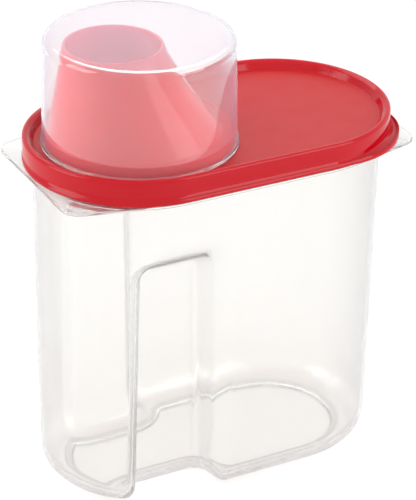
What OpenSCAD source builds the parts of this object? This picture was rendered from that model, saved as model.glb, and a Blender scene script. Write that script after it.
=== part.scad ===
// Cereal container: a clear container, a red lid with a fixed pouring spout,
// and a clear measuring cup that caps the spout.
// +X runs along the length, the spout is at the -X end, and +Z is up.
// The origin is the centre of the base, on the surface that it stands on.

/* [Container] */
// Half of the distance between the centres of the two rounded ends
half_span = 38; // [26:1:60]
// Half width of the container at its top, under the rim
top_r = 49.4; // [44:0.2:56]
// Difference between the half widths at the top and at the base
draft = 1.2; // [0.4:0.1:4]
// Height from the base to the top of the flange
flange_z = 167.4; // [150:0.1:240]
// Thickness of the container's side walls
wall = 1.6; // [1.2:0.1:2.4]
// Thickness of the container's floor
floor_t = 1.8; // [1.4:0.1:3]
// Radius of the rounded edge around the base
base_round = 14; // [6:0.5:18]

/* [Rim and flange] */
// Height of the standing rim above the flange
rim_h = 12.8; // [10:0.1:20]
// Thickness of the standing rim
rim_t = 1.6; // [1.2:0.1:2]
// Reach of the bead around the outside of the rim
bead = 0.4; // [0.3:0.05:0.5]
// Height of the bead above the flange
bead_z = 8; // [5:0.1:8.5]
// Thickness of the flange
flange_t = 1.6; // [1.2:0.1:2.4]
// Reach of the flange from the outside of the rim
flange_reach = 1.6; // [1:0.1:2]
// Reach of the corner tabs beyond the ends of the flange
tab_reach = 1.7; // [0:0.1:6]
// Distance from the side of each corner tab to the side of the flange
tab_inset = 11.6; // [6:0.2:18]
// Radius of the tips of the corner tabs
tab_round = 4; // [2:0.5:8]

/* [Finger grips] */
// Reach of each grip past the centre of the rounded end
grip_past = 17.5; // [8:0.5:20]
// Width of the front grip at its flat bottom
grip_w = 34; // [24:0.5:36]
// Depth of the front grip below the side of the container
grip_depth = 17.5; // [8:0.5:22]
// Width of the back grip at its flat bottom
back_grip_w = 28; // [20:0.5:36]
// Depth of the back grip below the side of the container
back_grip_depth = 13.5; // [8:0.5:22]
// Height of the roof of each grip at its flat bottom
grip_top = 125; // [80:0.5:140]
// Slope of the roof of each grip, upwards to the outside, in degrees
grip_slope = 30; // [0:1:45]
// Lean of the side walls of each grip, in degrees
grip_lean = 10; // [4:1:24]
// Radius of the upright corners inside each grip
grip_round = 4; // [2:0.5:6]
// Radius of the base edge inside each grip
grip_base_round = 13.5; // [4:0.5:14]

/* [Lid] */
// Thickness of the lid
lid_t = 1.8; // [1.4:0.1:2.4]
// Reach of the skirt below the top of the container's rim
skirt_h = 12.2; // [10:0.1:12.4]
// Thickness of the skirt
skirt_t = 1.8; // [1.4:0.1:2.2]
// Flare of the skirt from its top to its lower edge
skirt_flare = 0.7; // [0.5:0.1:2]
// Radius of the rounded outer edge of the lid's rim
lid_round = 2; // [1:0.1:2.6]
// Depth of the panel below the lid's rim
panel_drop = 5.5; // [4:0.1:7]
// Run of the sloping wall between the rim and the panel
panel_slope = 1.4; // [0.6:0.1:1.6]
// Wall between the panel's edge and the channel for the container's rim
channel_wall = 2; // [1.8:0.1:2.4]
// Clearance between the lid's channel and the container's rim
rim_gap = 0.3; // [0.3:0.05:0.6]

/* [Pull tab] */
// Direction of the pull tab from the centre of the end arc, in degrees
pull_angle = -45; // [-60:1:-30]
// Radius of the pull tab's rounded outline
pull_r = 40; // [20:1:46]
// Reach of the pull tab beyond the skirt
pull_reach = 4.8; // [3:0.2:8]
// Thickness of the pull tab
pull_t = 1.8; // [1.2:0.1:2.4]

/* [Spout] */
// Distance from the centre of the rounded end to the axis of the cup
cup_offset = 1.4; // [0.4:0.1:3]
// Height of the collar that the cup fits over
collar_h = 7; // [4:0.5:10]
// Difference between the radius of the collar and of the spout's foot
foot_ledge = 3.3; // [2.6:0.1:8]
// Distance from the axis of the cup to the centre of the spout's foot
foot_shift = 2.5; // [0:0.1:2.5]
// Hollow of the spout's long side: 1 is straight, and more is hollower
spout_flare = 1.25; // [1:0.05:2]
// Thickness of the spout
spout_t = 1.6; // [1.2:0.1:2]
// Radius of the pouring hole, inside the spout
mouth_r = 21.6; // [14:0.2:25]
// Distance from the axis of the cup to the centre of the pouring hole
mouth_shift = 13.4; // [0:0.2:14]
// Gap between the top of the spout and the inside of the cup
mouth_gap = 1.6; // [1:0.1:8]

/* [Measuring cup] */
// Height of the cup, which stands upside down on the lid
cup_h = 52.5; // [40:0.5:80]
// Thickness of the cup
cup_t = 1.4; // [1.1:0.1:2]
// Clearance between the cup's lip and the wall around the sunk panel
lip_gap = 0.4; // [0.3:0.05:1]
// Reach of the lip beyond the cup's wall
cup_lip = 0.9; // [0.5:0.1:1.5]
// Height of the lip
cup_lip_h = 2; // [1:0.1:3]
// Difference between the cup's radius at its lip and at its closed end
cup_draft = 1.3; // [0.5:0.1:3]
// Radius of the rounded edge at the cup's closed end
cup_round = 3.6; // [2:0.1:6]
// Clearance between the cup and the collar
cup_gap = 0.5; // [0.4:0.05:0.8]

/* [Hidden] */
clear_colour = [0.93, 0.94, 0.95, 0.4];
red_colour = [0.86, 0.10, 0.12];

// Fineness of the turned surfaces, and number of steps in each rounded edge
$fn = 96;
steps = 8;
// Overshoot of cutting tools
over = 1;
// Number of sides of the spout's rings, and of stages from its foot to its mouth
sides = 48;
stages = 6;

// Container
base_r = top_r - draft;
rim_top = flange_z + rim_h;
flange_low = flange_z - flange_t;
rim_in = top_r;
rim_out = rim_in + rim_t;
flange_r = rim_out + flange_reach;
cavity_top_r = top_r - wall;
cavity_base_r = base_r - wall;
cavity_round = base_round - wall;
tab_x = half_span + flange_r + tab_reach;
tab_cx = tab_x - tab_round;
tab_cy = flange_r - tab_inset - tab_round;
tab_away = norm([tab_cx - half_span, tab_cy]);
tab_turn = atan2(tab_cy, tab_cx - half_span) + acos((flange_r - tab_round) / tab_away);
grip_end = -half_span - grip_past;

// Lid
lid_top = rim_top + lid_t;
skirt_z = rim_top - skirt_h;
channel_in = rim_in - rim_gap;
channel_out = rim_out + rim_gap;
skirt_top_r = channel_out + skirt_t;
skirt_low_r = skirt_top_r + skirt_flare;
panel_top = lid_top - panel_drop;
panel_low = panel_top - lid_t;
panel_r = channel_in - channel_wall;
rim_in_r = panel_r + panel_slope;
pull_shift = skirt_low_r + pull_reach - pull_r;

// Spout and cup
cup_top = panel_top + cup_h;
cup_x = half_span - cup_offset;
cup_lip_r = panel_r - lip_gap;
cup_wall_r = cup_lip_r - cup_lip;
cup_end_r = cup_wall_r - cup_draft;
cup_in_r = cup_wall_r - cup_t;
collar_r = cup_in_r - cup_gap;
mouth_z = cup_top - cup_t - mouth_gap;
mouth_out_r = mouth_r + spout_t;
throat_r = collar_r - spout_t;
foot_r = collar_r - foot_ledge;
spout_h = mouth_z - panel_top - collar_h;
mouth_near = mouth_out_r - mouth_shift;
mouth_far = mouth_out_r + mouth_shift;
foot_near = foot_r - foot_shift;
foot_far = foot_r + foot_shift;

// Points of an arc about a centre, from one angle to another
function arc(centre, r, from, to) = [
    for (i = [0:steps])
        let (a = from + (to - from) * i / steps)
        centre + r * [cos(a), sin(a)]
];

// A half outline, in distance from the spine and height, carried around the
// long oval: two half turns joined by two straight runs.
module around_oval() {
    for (side = [-1, 1]) {
        translate([side * half_span, 0, 0])
            rotate([0, 0, -side * 90])
                rotate_extrude(angle = 180)
                    children();
        rotate([90, 0, side * 90])
            linear_extrude(height = 2 * half_span, center = true)
                children();
    }
}

// A solid oval tub: radius at the base and at the top, height, edge radius
module tub(r_base, r_top, z_base, z_top, edge_r) {
    around_oval()
        polygon(concat(
            [[0, z_top], [0, z_base]],
            arc([r_base - edge_r, z_base + edge_r], edge_r, -90, 0),
            [[r_top, z_top]]
        ));
}

// Plan of a finger grip of a given width: depth runs along +Y from its flat
// bottom as far as a given depth, and the whole outline is grown.
module grip_plan(width, far, grow) {
    corner_x = width / 2 - grip_round * (1 - sin(grip_lean)) / cos(grip_lean);
    r = grip_round + grow;
    end_y = grip_round - r * sin(grip_lean);
    end_x = corner_x + r * cos(grip_lean);
    far_x = end_x + (far - end_y) * tan(grip_lean);
    polygon(concat(
        [[-far_x, far]],
        arc([-corner_x, grip_round], r, 180 + grip_lean, 270),
        arc([corner_x, grip_round], r, 270, 360 - grip_lean),
        [[far_x, far]]
    ));
}

// The base edge along the flat bottom of a grip, as the space outside it
module grip_edge(width, grow) {
    r = grip_base_round - grow;
    centre = [-grip_base_round, grip_base_round];
    rotate([90, 0, 90])
        linear_extrude(height = width + 2 * grow, center = true)
            polygon(concat(
                [[grip_round, -over], [grip_round, grip_base_round]],
                arc(centre, r, 0, -90),
                [[-grip_base_round, -over]]
            ));
}

// Side view of a finger grip under its sloping roof, in depth and height
module grip_profile(far, grow) {
    rise = tan(grip_slope);
    roof = grip_top + grow / cos(grip_slope);
    near = -grow - over;
    polygon([
        [near, -over],
        [far + over, -over],
        [far + over, roof + (far + over) * rise],
        [near, roof + near * rise]
    ]);
}

// A finger grip in the +Y side, of a given width and depth, grown
module grip(width, depth, grow) {
    far = depth + top_r - base_r + over;
    translate([grip_end + width / 2, base_r - depth, 0]) {
        intersection() {
            translate([0, 0, -over])
                linear_extrude(height = rim_top)
                    grip_plan(width, far, grow);
            rotate([90, 0, 90])
                linear_extrude(height = 2 * width, center = true)
                    grip_profile(far, grow);
        }
        grip_edge(width, grow);
    }
}

// Both finger grips, grown by a given amount for the inside of the container
module grips(grow) {
    grip(back_grip_w, back_grip_depth, grow);
    mirror([0, 1, 0])
        grip(grip_w, grip_depth, grow);
}

// Plan of the flange beyond the rim at the +X end, with its two corner tabs
module flange_end() {
    centre = [half_span, 0];
    turn = [cos(tab_turn), sin(tab_turn)];
    difference() {
        polygon(concat(
            [centre, centre + flange_r * turn],
            arc([tab_cx, tab_cy], tab_round, tab_turn, 0),
            arc([tab_cx, -tab_cy], tab_round, 0, -tab_turn),
            [centre + flange_r * [turn[0], -turn[1]]]
        ));
        translate(centre)
            circle(r = rim_out);
    }
}

// Flange and rim around the mouth, with the bead that holds the lid
module mouth_rim() {
    around_oval()
        polygon([
            [cavity_top_r, flange_low],
            [flange_r, flange_low],
            [flange_r, flange_z],
            [rim_out, flange_z],
            [rim_out, flange_z + bead_z - bead],
            [rim_out + bead, flange_z + bead_z],
            [rim_out, flange_z + bead_z + bead],
            [rim_out, rim_top],
            [rim_in, rim_top],
            [rim_in, flange_z]
        ]);
    for (side = [0, 1])
        mirror([side, 0, 0])
            translate([0, 0, flange_low])
                linear_extrude(height = flange_t)
                    flange_end();
}

module container() {
    color(clear_colour) {
        difference() {
            tub(base_r, top_r, 0, flange_low, base_round);
            grips(0);
            difference() {
                tub(cavity_base_r, cavity_top_r, floor_t, flange_low + over, cavity_round);
                grips(wall);
            }
        }
        mouth_rim();
    }
}

// Skirt, raised rim and sunk panel of the lid, as one outline
module lid_shell() {
    around_oval()
        polygon(concat(
            [
                [0, panel_low],
                [channel_in, panel_low],
                [channel_in, rim_top],
                [channel_out, rim_top],
                [skirt_low_r - skirt_t, skirt_z],
                [skirt_low_r, skirt_z]
            ],
            arc([skirt_top_r - lid_round, lid_top - lid_round], lid_round, 0, 90),
            [
                [rim_in_r, lid_top],
                [panel_r, panel_top],
                [0, panel_top]
            ]
        ));
}

// Crescent that stands out from the lower edge of the skirt
module pull_tab() {
    translate([half_span, 0, skirt_z])
        difference() {
            rotate([0, 0, pull_angle])
                translate([pull_shift, 0, 0])
                    cylinder(r = pull_r, h = pull_t);
            translate([0, 0, -over])
                cylinder(r = skirt_low_r - skirt_t / 2, h = pull_t + 2 * over);
        }
}

// Reach of the spout from the cup's axis on its long side and on its steep
// side, where part is 0 at the mouth and 1 at the foot
function near_reach(part) = mouth_near + (foot_near - mouth_near) * pow(part, spout_flare);
function far_reach(part) = mouth_far + (foot_far - mouth_far) * part;

// One round ring of the spout at a height, with a wall taken off its radius
function spout_ring(part, z, inset) =
    let (
        near = near_reach(part),
        far = far_reach(part),
        r = (near + far) / 2 - inset
    )
    [for (k = [1:sides]) [(near - far) / 2 + r * cos(360 * k / sides), r * sin(360 * k / sides), z]];

// A closed solid through a stack of rings, from the lowest to the highest
module loft(rings) {
    top = len(rings) - 1;
    polyhedron(
        points = [for (ring = rings) each ring],
        faces = concat(
            [[for (k = [0:sides - 1]) k]],
            [
                for (i = [0:top - 1], k = [0:sides - 1])
                    let (next = (k + 1) % sides)
                    [i * sides + k, (i + 1) * sides + k, (i + 1) * sides + next, i * sides + next]
            ],
            [[for (k = [sides - 1:-1:0]) top * sides + k]]
        )
    );
}

// Rings of the leaning spout from its foot to its mouth, run on below the foot
function spout_rings(inset, below) = concat(
    [spout_ring(1, -below, inset)],
    [for (i = [0:stages]) spout_ring(1 - i / stages, spout_h * i / stages, inset)]
);

// Collar, ledge and spout, before they are hollowed out. The collar starts
// halfway down the panel, so that the two are one body.
module spout() {
    translate([0, 0, -lid_t / 2])
        cylinder(r = collar_r, h = collar_h + lid_t / 2);
    translate([0, 0, collar_h])
        loft(spout_rings(0, over));
}

// The space inside the collar, and inside the spout up to its open mouth
module spout_bore() {
    translate([0, 0, -lid_t - over])
        cylinder(r = throat_r, h = collar_h - spout_t + lid_t + over);
    translate([0, 0, collar_h])
        loft(concat(
            spout_rings(spout_t, spout_t + over),
            [spout_ring(0, spout_h + over, spout_t)]
        ));
}

module lid() {
    color(red_colour)
        difference() {
            union() {
                lid_shell();
                pull_tab();
                translate([-cup_x, 0, panel_top])
                    spout();
            }
            translate([-cup_x, 0, panel_top])
                spout_bore();
        }
}

module measuring_cup() {
    color(clear_colour)
        translate([-cup_x, 0, panel_top])
            rotate_extrude()
                polygon(concat(
                    [
                        [cup_in_r, 0],
                        [cup_lip_r, 0],
                        [cup_lip_r, cup_lip_h - cup_lip],
                        [cup_wall_r, cup_lip_h]
                    ],
                    arc([cup_end_r - cup_round, cup_h - cup_round], cup_round, 0, 90),
                    [
                        [0, cup_h],
                        [0, cup_h - cup_t]
                    ],
                    arc([cup_end_r - cup_round, cup_h - cup_round], cup_round - cup_t, 90, 0)
                ));
}

container();
lid();
measuring_cup();
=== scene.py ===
# %% [markdown]
# # A clear cereal container with a red pouring lid
# The real thing is three mouldings in polypropylene: a long oval container with a finger grip in
# each side, a red lid with a fixed pouring spout, and a clear measuring cup that stands upside
# down over the spout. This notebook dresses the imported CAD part. Every surface is worked out
# with numpy in millimetres, in the CAD part's own frame, and turned into metres at the end.

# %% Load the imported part
import math

import bmesh
import bpy
import numpy as np
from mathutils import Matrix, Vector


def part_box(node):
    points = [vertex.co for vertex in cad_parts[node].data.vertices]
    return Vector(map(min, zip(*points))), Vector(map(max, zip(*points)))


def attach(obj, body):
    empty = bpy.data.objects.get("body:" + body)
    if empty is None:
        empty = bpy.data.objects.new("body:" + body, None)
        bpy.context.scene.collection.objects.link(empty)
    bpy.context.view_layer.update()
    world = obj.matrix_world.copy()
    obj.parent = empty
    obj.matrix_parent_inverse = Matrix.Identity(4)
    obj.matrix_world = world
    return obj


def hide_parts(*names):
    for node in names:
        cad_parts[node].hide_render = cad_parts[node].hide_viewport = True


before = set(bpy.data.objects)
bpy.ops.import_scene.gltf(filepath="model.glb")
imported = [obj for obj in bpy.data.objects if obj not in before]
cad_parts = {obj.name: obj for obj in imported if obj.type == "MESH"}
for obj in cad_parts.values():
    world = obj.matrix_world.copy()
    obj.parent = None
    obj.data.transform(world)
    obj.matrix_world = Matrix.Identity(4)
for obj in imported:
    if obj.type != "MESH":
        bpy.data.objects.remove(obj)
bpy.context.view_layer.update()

MM = 0.001

# %% [markdown]
# ## Camera
# A camera can be aimed with a Track To constraint, or by writing its axes into its matrix. The
# matrix is used here, because it also takes the small roll of a hand-held view. The lens is long,
# so that the upright walls stay nearly parallel. The picture is 416 by 500 pixels.

# %% Directions and matrices
def towards(azimuth, elevation):
    """Unit vector at an azimuth from the front and at an elevation, both in radians.

    X is sin azimuth times cos elevation, Y is minus cos azimuth times cos elevation, and Z is
    sin elevation.
    """
    return np.array([
        math.sin(azimuth) * math.cos(elevation),
        -math.cos(azimuth) * math.cos(elevation),
        math.sin(elevation),
    ])


def axes_matrix(right, up, back, place):
    """Matrix of a camera or a lamp: its three axes and its place as the four columns."""
    matrix = np.eye(4)
    matrix[:3, 0], matrix[:3, 1], matrix[:3, 2] = right, up, back
    matrix[:3, 3] = place * MM
    return matrix.T.tolist()


print("straight up:", towards(0, math.pi / 2).round(3))

# %% Camera
PICTURE = np.array([416, 500])
VIEW_AZIMUTH = math.radians(-28.03)
VIEW_HEIGHT = math.radians(28.2)
VIEW_ROLL = math.radians(0.94)
VIEW_DISTANCE = 1076.5
VIEW_TARGET = np.array([-1.94, 0.30, 109.62])
FOCAL_PIXELS = 2206.25
LENS_AXIS = np.array([202.91, 249.19])
SENSOR = 36.0


def add_camera():
    """A camera at the end of a line from the target, which leaves it at the azimuth and height.

    Its level and upright axes are turned by the roll: each is cos roll of itself, with sin roll
    of the other one.
    """
    back = towards(VIEW_AZIMUTH, VIEW_HEIGHT)
    level = np.cross(-back, [0, 0, 1])
    level /= np.linalg.norm(level)
    upright = np.cross(level, -back)
    right = math.cos(VIEW_ROLL) * level + math.sin(VIEW_ROLL) * upright
    up = math.cos(VIEW_ROLL) * upright - math.sin(VIEW_ROLL) * level
    data = bpy.data.cameras.new("camera")
    data.sensor_width = SENSOR
    data.lens = FOCAL_PIXELS / PICTURE[1] * SENSOR
    data.shift_x = (PICTURE[0] / 2 - LENS_AXIS[0]) / PICTURE[1]
    data.shift_y = (LENS_AXIS[1] - PICTURE[1] / 2) / PICTURE[1]
    camera = bpy.data.objects.new("camera", data)
    camera.matrix_world = axes_matrix(right, up, back, VIEW_TARGET + back * VIEW_DISTANCE)
    bpy.context.scene.collection.objects.link(camera)
    bpy.context.scene.camera = camera
    return camera


camera = add_camera()
print("lens", round(camera.data.lens, 2), "mm")

# %% [markdown]
# ## Driving sizes
# These are the container's own sizes in millimetres, the same ones that the CAD part is built
# from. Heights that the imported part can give, such as the lid's top, are read from its boxes.
# The rim under the lid stands a little lower than the solid's, so that the lid's bevelled crest
# has wall enough above it.

# %% Driving sizes
cup_low, cup_high = [np.array(corner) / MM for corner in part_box("measuring_cup")]
lid_low, lid_high = [np.array(corner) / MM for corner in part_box("lid")]
tub_low, tub_high = [np.array(corner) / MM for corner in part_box("container")]

HALF_SPAN = 38.0
RIM_DROP = 2.4
RIM_TOP = tub_high[2] - RIM_DROP
FLANGE_TOP = 167.4
FLANGE_LOW = 165.8
TOP_RADIUS = 49.4
BASE_RADIUS = 48.2
WALL = 1.6
BASE_ROUND = 14.0
print("container", tub_low.round(1), tub_high.round(1))
print("lid", lid_low.round(1), lid_high.round(1), "cup", cup_low.round(1), cup_high.round(1))

# %% [markdown]
# ## Helpers for surfaces
# All three pieces are closed skins. Each is a stack of rings of points: a ring is joined to the
# next one by four-sided faces, and every ring has the same number of points. Where a ring
# shrinks to a line or to a point, its doubles are merged, which closes the seam. The volume that
# the skin encloses has a sign, and the sign tells whether the faces point outwards.

# %% Rings to mesh
MERGE_WITHIN = 1e-6
MM3_IN_CM3 = 1000


def skin_from_rings(name, rings, endless=False):
    """Mesh object through rings of shape (ring, point, xyz) in millimetres.

    Face (i, j) joins points j and j+1 of ring i to those of ring i+1, and points wrap around.
    With endless, the last ring is joined to the first one. Six times the enclosed volume is the
    sum, over two triangles a face, of one corner's product with the cross product of the others.
    """
    count, around = rings.shape[:2]
    index = np.arange(count * around).reshape(count, around)
    after = np.roll(index, -1, axis=0) if endless else index[1:]
    before = index if endless else index[:-1]
    faces = np.stack(
        [before, np.roll(before, -1, axis=1), np.roll(after, -1, axis=1), after], axis=-1
    ).reshape(-1, 4)
    points = rings.reshape(-1, 3)
    corner = points[faces]
    six_volumes = np.einsum("ij,ij->", corner[:, 0], np.cross(corner[:, 1], corner[:, 2]))
    six_volumes += np.einsum("ij,ij->", corner[:, 0], np.cross(corner[:, 2], corner[:, 3]))
    if six_volumes < 0:
        faces = faces[:, ::-1]
    mesh = bpy.data.meshes.new(name)
    mesh.from_pydata((points * MM).tolist(), [], faces.tolist())
    merged = bmesh.new()
    merged.from_mesh(mesh)
    bmesh.ops.remove_doubles(merged, verts=merged.verts, dist=MERGE_WITHIN)
    merged.to_mesh(mesh)
    merged.free()
    mesh.shade_smooth()
    piece = bpy.data.objects.new(name, mesh)
    bpy.context.scene.collection.objects.link(piece)
    volume = abs(six_volumes) / 6 / MM3_IN_CM3
    print(name, len(mesh.polygons), "faces,", round(volume, 1), "cm3")
    return piece


# %% Outlines with rounded corners
def rounded(corners, steps=6):
    """Points along straight runs between corners (distance, height, radius).

    A corner with a radius becomes an arc that touches both runs, in equal turns. The arc starts
    before the corner by the radius times the tangent of half the turn.
    """
    points = []
    spots = np.array([corner[:2] for corner in corners], float)
    for i, (x, z, radius) in enumerate(corners):
        if radius == 0 or i in (0, len(corners) - 1):
            points.append((x, z))
            continue
        come = spots[i] - spots[i - 1]
        go = spots[i + 1] - spots[i]
        come /= np.linalg.norm(come)
        go /= np.linalg.norm(go)
        turn = math.atan2(come[0] * go[1] - come[1] * go[0], come @ go)
        start = spots[i] - come * radius * math.tan(abs(turn) / 2)
        normal = np.array([-come[1], come[0]]) * math.copysign(1, turn)
        centre = start + normal * radius
        for angle in np.linspace(0, turn, steps + 1):
            spoke = start - centre
            points.append((
                centre[0] + spoke[0] * math.cos(angle) - spoke[1] * math.sin(angle),
                centre[1] + spoke[0] * math.sin(angle) + spoke[1] * math.cos(angle),
            ))
    return np.array(points)


def smooth_step(value, low, high):
    """Smooth ramp from 0 at one value to 1 at another: three squares of the share less two cubes."""
    share = np.clip((value - low) / (high - low), 0, 1)
    return share * share * (3 - 2 * share)


print("a rounded corner:", rounded([(0, 0, 0), (1, 0, 1), (1, 1, 0)], steps=2)[1:-1].round(2).tolist())

# %% [markdown]
# ## Container: the walls
# The container is a long oval tub with a deep finger grip in each side, and its corners are all
# softly rounded. It could be cut with booleans, but a boolean leaves ragged triangles that show
# in clear plastic. Instead, the tub is written as one formula: how far a point lies inside the
# skin. Two such distances are joined by a soft minimum, which rounds the edge between them to a
# given radius. The skin is where the distance is nothing, and the inner skin is where it is one
# wall thickness, so that the wall is even all over, as a moulded wall is.

# %% Plain distances
def soft_min(a, b, radius):
    """The smaller of two inside-distances, where their edge is rounded to a radius.

    It is the larger of the radius and the smaller distance, less the length of the two
    shortfalls from the radius.
    """
    near = np.hypot(np.maximum(radius - a, 0), np.maximum(radius - b, 0))
    return np.maximum(radius, np.minimum(a, b)) - near


def spine_distance(x, y):
    """Distance in plan from the oval's spine, the line between its two end centres."""
    return np.hypot(np.maximum(np.abs(x) - HALF_SPAN, 0), y)


print("past an end centre by 3 and 4:", spine_distance(HALF_SPAN + 3, 4.0))

# %% Distances inside the grips
FRONT_GRIP = {"left": -54.9, "right": -21.9, "face": 30.7, "hollow": 1.6}
BACK_GRIP = {"left": -54.9, "right": -26.5, "face": 34.6, "hollow": 2.5}
GRIP_WIDEN = 1.9
GRIP_TOP = 124.8
GRIP_LEAN = math.tan(math.radians(11))
GRIP_CORNER = 5.0
ROOF_LEAN = math.tan(math.radians(30))


def grip_widen(z):
    """How much further out each side of a grip is at a height than at its top: a straight line."""
    return GRIP_WIDEN * (1 - z / GRIP_TOP)


def inside_grip(x, y, z, grip):
    """Distance inside a grip: a leaning outline with round upper corners, and a flat face.

    The sides and the roof open outwards with the depth in front of the face, each by the tangent
    of its lean, and are divided by the slope's length to give a true distance.
    """
    depth = np.abs(y) - grip["face"]
    left = x - grip["left"] + grip_widen(z)
    right = grip["right"] + grip_widen(z) - x
    sides = (np.minimum(left, right) + depth * GRIP_LEAN) / math.hypot(1, GRIP_LEAN)
    roof = (GRIP_TOP - z + depth * ROOF_LEAN) / math.hypot(1, ROOF_LEAN)
    return soft_min(soft_min(sides, roof, GRIP_CORNER), depth, grip["hollow"])


def outside_grips(x, y, z):
    """Distance outside the grip on the side where the point is."""
    return -np.where(y < 0, inside_grip(x, y, z, FRONT_GRIP), inside_grip(x, y, z, BACK_GRIP))


print("front grip", round(FRONT_GRIP["right"] - FRONT_GRIP["left"], 1), "mm wide at its top")

# %% Distance inside the walls
EDGE_LEFT = 3.1
EDGE_RIGHT = 8.0
EDGE_BLEND = (-56, -44)


def inside_walls(point):
    """Distance inside the tub's side walls and clear of its grips.

    The walls' radius grows evenly from the base to the flange. The grips' edges are sharper at
    the left, where their radius changes by a smooth step.
    """
    x, y, z = np.moveaxis(point, -1, 0)
    side = BASE_RADIUS + (TOP_RADIUS - BASE_RADIUS) * z / FLANGE_LOW - spine_distance(x, y)
    edge = EDGE_LEFT + (EDGE_RIGHT - EDGE_LEFT) * smooth_step(x, *EDGE_BLEND)
    return soft_min(side, outside_grips(x, y, z), edge)


print("middle", round(float(inside_walls(np.array([0, 0, GRIP_TOP]))), 1), "mm inside the walls")

# %% Distance inside the tub
RING_OUT = 12.3
RING_IN = 15.4
RING_EDGE = 0.6
RING_STEP = 0.4
RING_RISE = 1.5
FLOOR_MIDDLE = 0.9
RECESS = 0.15


def under_lift(walls):
    """How far the underside stands above the foot: the recess times a smooth step past the ring."""
    return RECESS * smooth_step(walls, RING_IN, RING_IN + RING_EDGE)


def floor_lift(walls):
    """How far the inner floor is lifted over a wall's thickness.

    It is level in the middle, and smooth steps raise it over the foot ring and outside it.
    """
    ring = smooth_step(walls, RING_IN + RING_EDGE, RING_IN)
    outer = smooth_step(walls, RING_OUT, RING_OUT - RING_EDGE)
    return FLOOR_MIDDLE - WALL + RING_RISE * ring + RING_STEP * outer


def inside_tub(point, lift):
    """Distance inside the tub's skin, whose floor is lifted by a function of the walls."""
    walls = inside_walls(point)
    return soft_min(walls, point[..., 2] - lift(walls), BASE_ROUND)


print("the floor is", round(float(WALL + floor_lift(RING_IN)), 2), "mm thick over the foot ring")

# %% [markdown]
# ## Container: rays
# A formula for the distance still needs points. Each point is found on a ray that starts inside
# the tub, by halving the ray until the distance is what it should be. Across the grips the rays
# run straight to the side, and around the two ends they fan out. The rays stand closer where the
# wall turns, and around the grips' upper corners the grid itself is bent into quarter rounds, so
# that its lines run along the edges and no edge looks ragged.

# %% Rays around the ends
FAN_STEP = 3.0
FAN_GAP = 0.02
TAB_CORNER = np.array([85.3, 34.7])
TAB_ROUND = 7.0
TIP_BEFORE = math.radians(5.5)
TIP_AFTER = math.radians(5)
TIP_RAYS = 15


def fan_angles(centre):
    """Angles over a quarter turn about an end, closer together where a flange tip is."""
    tip = math.atan2(TAB_CORNER[1], TAB_CORNER[0] - abs(centre))
    close = np.linspace(tip - TIP_BEFORE, tip + TIP_AFTER, TIP_RAYS)
    plain = np.radians(np.arange(0, 90, FAN_STEP))
    before = plain[plain < close[0] - FAN_GAP]
    after = plain[plain > close[-1] + FAN_GAP]
    return np.concatenate([before, close, after])


print(len(fan_angles(HALF_SPAN)), "rays in a quarter turn")

# %% Rays across the grips
# Steps from an edge of a grip. Those below nothing lie over its face.
EDGE_STEPS = np.concatenate([
    [-9, -6.6, -5, -4, -3.2, -2.5, -1.9, -1.4, -1, -0.6],
    np.arange(-0.3, 6.4, 0.3),
    [6.8, 7.4, 8.2, 9.2, 10.5],
])
FAN_LEFT = FRONT_GRIP["left"] - EDGE_STEPS[-1] - 1
PLAIN_RAYS = 11
FACE_RAYS = 7


def side_starts(grip):
    """Places along X of the rays across one side, from the right end's centre to the left.

    The edge steps are counted from each edge of the grip, outwards from its face.
    """
    right = grip["right"] + GRIP_WIDEN / 2 + EDGE_STEPS[::-1]
    left = grip["left"] - GRIP_WIDEN / 2 - EDGE_STEPS
    plain = np.linspace(HALF_SPAN, right[0], PLAIN_RAYS)[:-1]
    flat = np.linspace(right[-1], left[0], FACE_RAYS)[1:-1]
    return np.concatenate([plain, right, flat, left])


def half_starts(grip):
    """Places along X of the rays over one half of the container, with the fans at both ends."""
    return np.concatenate([
        np.full(len(right_fan), HALF_SPAN), side_starts(grip), np.full(len(left_fan), FAN_LEFT)
    ])


right_fan, left_fan = fan_angles(HALF_SPAN), fan_angles(FAN_LEFT)
straight = np.full(len(side_starts(BACK_GRIP)), math.pi / 2)
half_heading = np.concatenate([right_fan, straight, math.pi - left_fan[::-1]])
heading = np.concatenate([half_heading, [math.pi], -half_heading[:0:-1]])
start = np.concatenate([half_starts(BACK_GRIP), [FAN_LEFT], half_starts(FRONT_GRIP)[:0:-1]])
print(len(heading), "rays around the container")

# %% Heights of the rays
WALL_TOP = 163.0
low_rows = BASE_ROUND + np.array([3, 7, 13, 22, 34, 46, 58, 70, 82, 91, 97])
grip_rows = GRIP_TOP + EDGE_STEPS
high_rows = np.concatenate([np.arange(136.5, 150, 1.4), [152, 155, 159, WALL_TOP]])
wall_rows = np.concatenate([low_rows, grip_rows, high_rows])
# Rows of the base: shares of the middle floor, then distances inside the walls over the foot
# ring, then equal turns round the base's edge.
floor_shares = np.array([0, 0.3, 0.6, 0.85])
ring_walls = np.array([
    16.5, 16.2, 16.05, 15.9, 15.75, 15.6, 15.45, 15.3, 15, 14.2, 13.2,
    12.6, 12.3, 12.15, 12, 11.85, 11.7, 11.55, 11.3, 10.6
])
round_turns = np.radians(np.arange(72, -1, -5.0))
round_walls = BASE_ROUND * (1 - np.cos(round_turns))
round_walls[-1] = 0
base_walls = np.concatenate([ring_walls, round_walls])
print(len(wall_rows), "rows up the wall and", len(base_walls), "round the base")

# %% Bend the rays around the grips
SIDE_BLEND = 5
BEND_FADE = 20
BEND_TOP = 150
BEND_ROUND = 12.5
BEND_SQUARE = 22.5


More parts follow.
